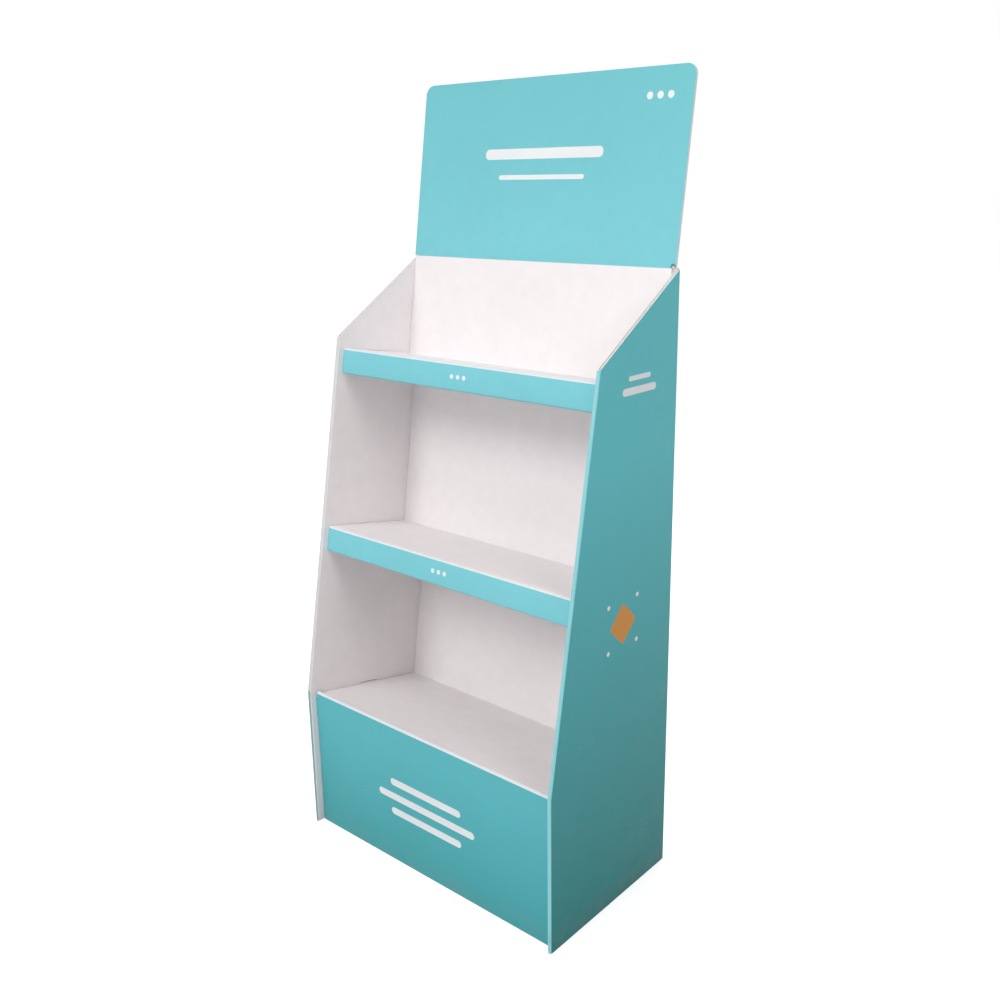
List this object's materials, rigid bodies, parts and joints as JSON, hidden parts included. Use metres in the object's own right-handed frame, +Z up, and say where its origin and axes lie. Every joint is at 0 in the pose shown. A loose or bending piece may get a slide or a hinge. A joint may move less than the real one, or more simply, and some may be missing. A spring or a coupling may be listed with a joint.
{
  "type": "cardboard display stand",
  "caption": "Floor display stand of folded corrugated board with tiered shelves that fall to the rear, printed lips, double side walls, a boxed base and a leaning header card.",
  "frame": {"origin": "on the floor, in the middle of the bounding box seen from above", "axes": "+X across the stand to the right of someone facing it, -Y towards the open front, +Z up"},
  "size_m": [0.6, 0.3754, 1.3968],
  "materials": {
    "printed_side": "matt printed",
    "printed_front": "matt printed",
    "printed_header": "matt printed",
    "white_board": "matt white",
    "brown_board": "matt unprinted"
  },
  "bodies": {
    "root": {"left_side": "printed_side", "right_side": "printed_side", "back_panel": "white_board", "base_front": "printed_front", "base_tray": "white_board", "middle_tray": "white_board", "top_tray": "white_board", "header_card": "printed_header", "base_long_partition": "brown_board", "base_cross_partition_left": "brown_board", "base_cross_partition_right": "brown_board"}
  },
  "joints": []
}
